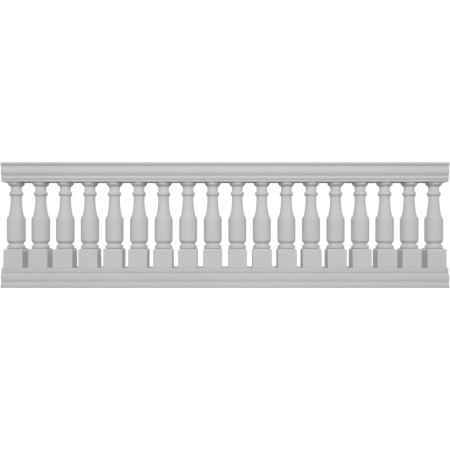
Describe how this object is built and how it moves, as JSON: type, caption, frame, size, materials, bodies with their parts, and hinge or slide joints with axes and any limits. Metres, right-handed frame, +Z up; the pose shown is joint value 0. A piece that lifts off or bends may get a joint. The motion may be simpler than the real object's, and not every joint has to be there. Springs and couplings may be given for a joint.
{
  "type": "balustrade section",
  "caption": "Moulded fiberglass balustrade section: turned vase balusters on square plinths between hollow moulded top and bottom rails, standing on the bottom rail.",
  "frame": {"origin": "middle of the bottom rail's footprint, on the ground", "axes": "+X along the run, to the right in the picture; +Y away from the viewer, through the depth; +Z up"},
  "size_m": [3.251, 0.181, 0.912],
  "materials": {
    "rail_gelcoat": "satin gelcoat",
    "baluster_gelcoat": "satin gelcoat",
    "soffit_gelcoat": "satin gelcoat"
  },
  "bodies": {
    "root": {"bottom_rail": "rail_gelcoat", "top_rail": "rail_gelcoat", "top_rail_soffit": "soffit_gelcoat", "baluster_01": "baluster_gelcoat", "baluster_02": "baluster_gelcoat", "baluster_03": "baluster_gelcoat", "baluster_04": "baluster_gelcoat", "baluster_05": "baluster_gelcoat", "baluster_06": "baluster_gelcoat", "baluster_07": "baluster_gelcoat", "baluster_08": "baluster_gelcoat", "baluster_09": "baluster_gelcoat", "baluster_10": "baluster_gelcoat", "baluster_11": "baluster_gelcoat", "baluster_12": "baluster_gelcoat", "baluster_13": "baluster_gelcoat", "baluster_14": "baluster_gelcoat", "baluster_15": "baluster_gelcoat", "baluster_16": "baluster_gelcoat", "baluster_17": "baluster_gelcoat", "baluster_18": "baluster_gelcoat"}
  },
  "joints": []
}
